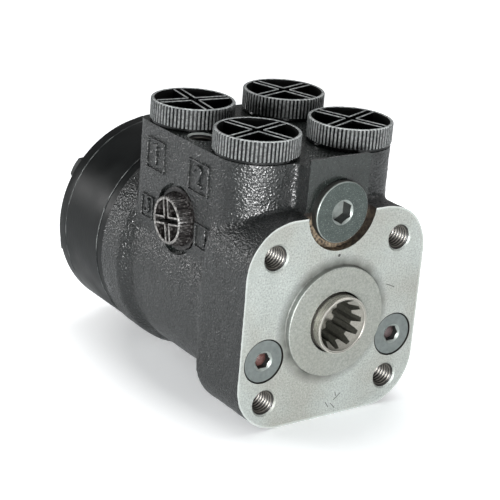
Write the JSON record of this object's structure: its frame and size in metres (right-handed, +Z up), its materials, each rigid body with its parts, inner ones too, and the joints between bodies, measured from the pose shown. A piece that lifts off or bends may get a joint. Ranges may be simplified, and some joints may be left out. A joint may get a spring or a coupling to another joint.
{
  "type": "orbital steering unit",
  "caption": "Hydraulic orbital steering unit: cast port block with capped ports, square column flange with splined hub, and gear ring with screwed end cover.",
  "frame": {"origin": "centre of the column flange face, on the axis of the valve spool", "axes": "+Z up towards the port face, -Y out of the flange towards the steering column, +Y along the spool to the end cover"},
  "size_m": [0.0888, 0.1489, 0.1143],
  "materials": {
    "painted_casting": "satin",
    "painted_steel": "satin",
    "screw_steel": "satin",
    "ground_steel": "satin",
    "spring_steel": "satin",
    "dark_steel": "satin",
    "copper_washer": "satin",
    "black_rubber": "matte",
    "cap_plastic": "satin",
    "side_cap_plastic": "satin"
  },
  "bodies": {
    "housing": {"housing": "painted_casting", "distributor_plate": "painted_steel", "gear_ring": "painted_steel", "end_cover": "painted_steel", "cover_screws": "screw_steel", "pin_screw": "screw_steel", "screw_washers": "screw_steel", "o_ring_housing": "black_rubber", "o_ring_plate": "black_rubber", "o_ring_cover": "black_rubber", "dust_seal": "black_rubber", "shaft_seal": "black_rubber", "thrust_race_front": "ground_steel", "relief_plug": "dark_steel", "relief_seal_ring": "copper_washer", "relief_adjuster": "dark_steel", "relief_spring": "spring_steel", "shock_plug_left": "dark_steel", "shock_plug_right": "dark_steel", "shock_seals": "copper_washer", "shock_adjusters": "dark_steel", "shock_spring_left": "spring_steel", "shock_spring_right": "spring_steel", "check_bush": "dark_steel", "suction_pins": "spring_steel"},
    "sleeve": {"valve_sleeve": "ground_steel", "cross_pin": "ground_steel", "centring_springs": "spring_steel", "spring_ring": "spring_steel", "thrust_race_rear": "ground_steel"},
    "spool": {"valve_spool": "ground_steel"},
    "needle_cage": {"needle_cage": "ground_steel"},
    "orbit_spacer": {"drive_spacer": "dark_steel"},
    "rotor": {"rotor": "ground_steel"},
    "cardan_shaft": {"cardan_shaft": "dark_steel"},
    "relief_poppet": {"relief_poppet": "ground_steel"},
    "shock_ball_left": {"shock_ball_left": "ground_steel"},
    "shock_ball_right": {"shock_ball_right": "ground_steel"},
    "check_ball": {"check_ball": "ground_steel"},
    "suction_ball_upper": {"suction_ball_upper": "ground_steel"},
    "suction_ball_lower": {"suction_ball_lower": "ground_steel"},
    "port_cap_front_left": {"port_cap_front_left": "cap_plastic"},
    "port_cap_rear_left": {"port_cap_rear_left": "cap_plastic"},
    "port_cap_front_right": {"port_cap_front_right": "cap_plastic"},
    "port_cap_rear_right": {"port_cap_rear_right": "cap_plastic"},
    "side_port_cap": {"side_port_cap": "side_cap_plastic"}
  },
  "joints": [
    {"name": "sleeve_turn", "type": "hinge", "parent": "housing", "child": "sleeve", "pos_m": [0, 0.05, 0], "axis": [0, 1, 0], "continuous": true},
    {"name": "spool_deflect", "type": "hinge", "parent": "sleeve", "child": "spool", "pos_m": [0, 0.05, 0], "axis": [0, 1, 0], "range_deg": [-8, 8], "stiffness_Nm_per_rad": 7, "deforming": ["centring_springs"]},
    {"name": "rotor_orbit", "type": "hinge", "parent": "housing", "child": "orbit_spacer", "pos_m": [0, 0.117, 0], "axis": [0, 1, 0], "continuous": true},
    {"name": "rotor_spin", "type": "hinge", "parent": "orbit_spacer", "child": "rotor", "pos_m": [0.00277, 0.117, -0.0004], "axis": [0, 1, 0], "continuous": true},
    {"name": "cardan_spin", "type": "hinge", "parent": "orbit_spacer", "child": "cardan_shaft", "pos_m": [0, 0.044, 0], "axis": [0.0407, 0.9992, -0.0059], "continuous": true},
    {"name": "bearing_turn", "type": "hinge", "parent": "housing", "child": "needle_cage", "pos_m": [0, 0.0122, 0], "axis": [0, 1, 0], "continuous": true},
    {"name": "relief_lift", "type": "slide", "parent": "housing", "child": "relief_poppet", "axis": [0, -1, 0], "range_m": [0, 0.002], "stiffness_N_per_m": 20000, "deforming": ["relief_spring"]},
    {"name": "shock_lift_left", "type": "slide", "parent": "housing", "child": "shock_ball_left", "axis": [0, -1, 0], "range_m": [0, 0.0015], "stiffness_N_per_m": 12000, "deforming": ["shock_spring_left"]},
    {"name": "shock_lift_right", "type": "slide", "parent": "housing", "child": "shock_ball_right", "axis": [0, -1, 0], "range_m": [0, 0.0015], "stiffness_N_per_m": 12000, "deforming": ["shock_spring_right"]},
    {"name": "check_lift", "type": "slide", "parent": "housing", "child": "check_ball", "axis": [0, 0, 1], "range_m": [0, 0.002]},
    {"name": "suction_lift_upper", "type": "slide", "parent": "housing", "child": "suction_ball_upper", "axis": [0, 1, 0], "range_m": [0, 0.0009]},
    {"name": "suction_lift_lower", "type": "slide", "parent": "housing", "child": "suction_ball_lower", "axis": [0, 1, 0], "range_m": [0, 0.0009]},
    {"name": "pull_front_left_cap", "type": "slide", "parent": "housing", "child": "port_cap_front_left", "axis": [0, 0, 1], "range_m": [0, 0.02]},
    {"name": "pull_rear_left_cap", "type": "slide", "parent": "housing", "child": "port_cap_rear_left", "axis": [0, 0, 1], "range_m": [0, 0.02]},
    {"name": "pull_front_right_cap", "type": "slide", "parent": "housing", "child": "port_cap_front_right", "axis": [0, 0, 1], "range_m": [0, 0.02]},
    {"name": "pull_rear_right_cap", "type": "slide", "parent": "housing", "child": "port_cap_rear_right", "axis": [0, 0, 1], "range_m": [0, 0.02]},
    {"name": "pull_side_cap", "type": "slide", "parent": "housing", "child": "side_port_cap", "axis": [-1, 0, 0], "range_m": [0, 0.014]}
  ],
  "couplings": [
    {"joint": "rotor_orbit", "follows": "sleeve_turn", "ratio": -6},
    {"joint": "rotor_spin", "follows": "sleeve_turn", "ratio": 7},
    {"joint": "cardan_spin", "follows": "sleeve_turn", "ratio": 7},
    {"joint": "bearing_turn", "follows": "sleeve_turn", "ratio": 0.5}
  ]
}
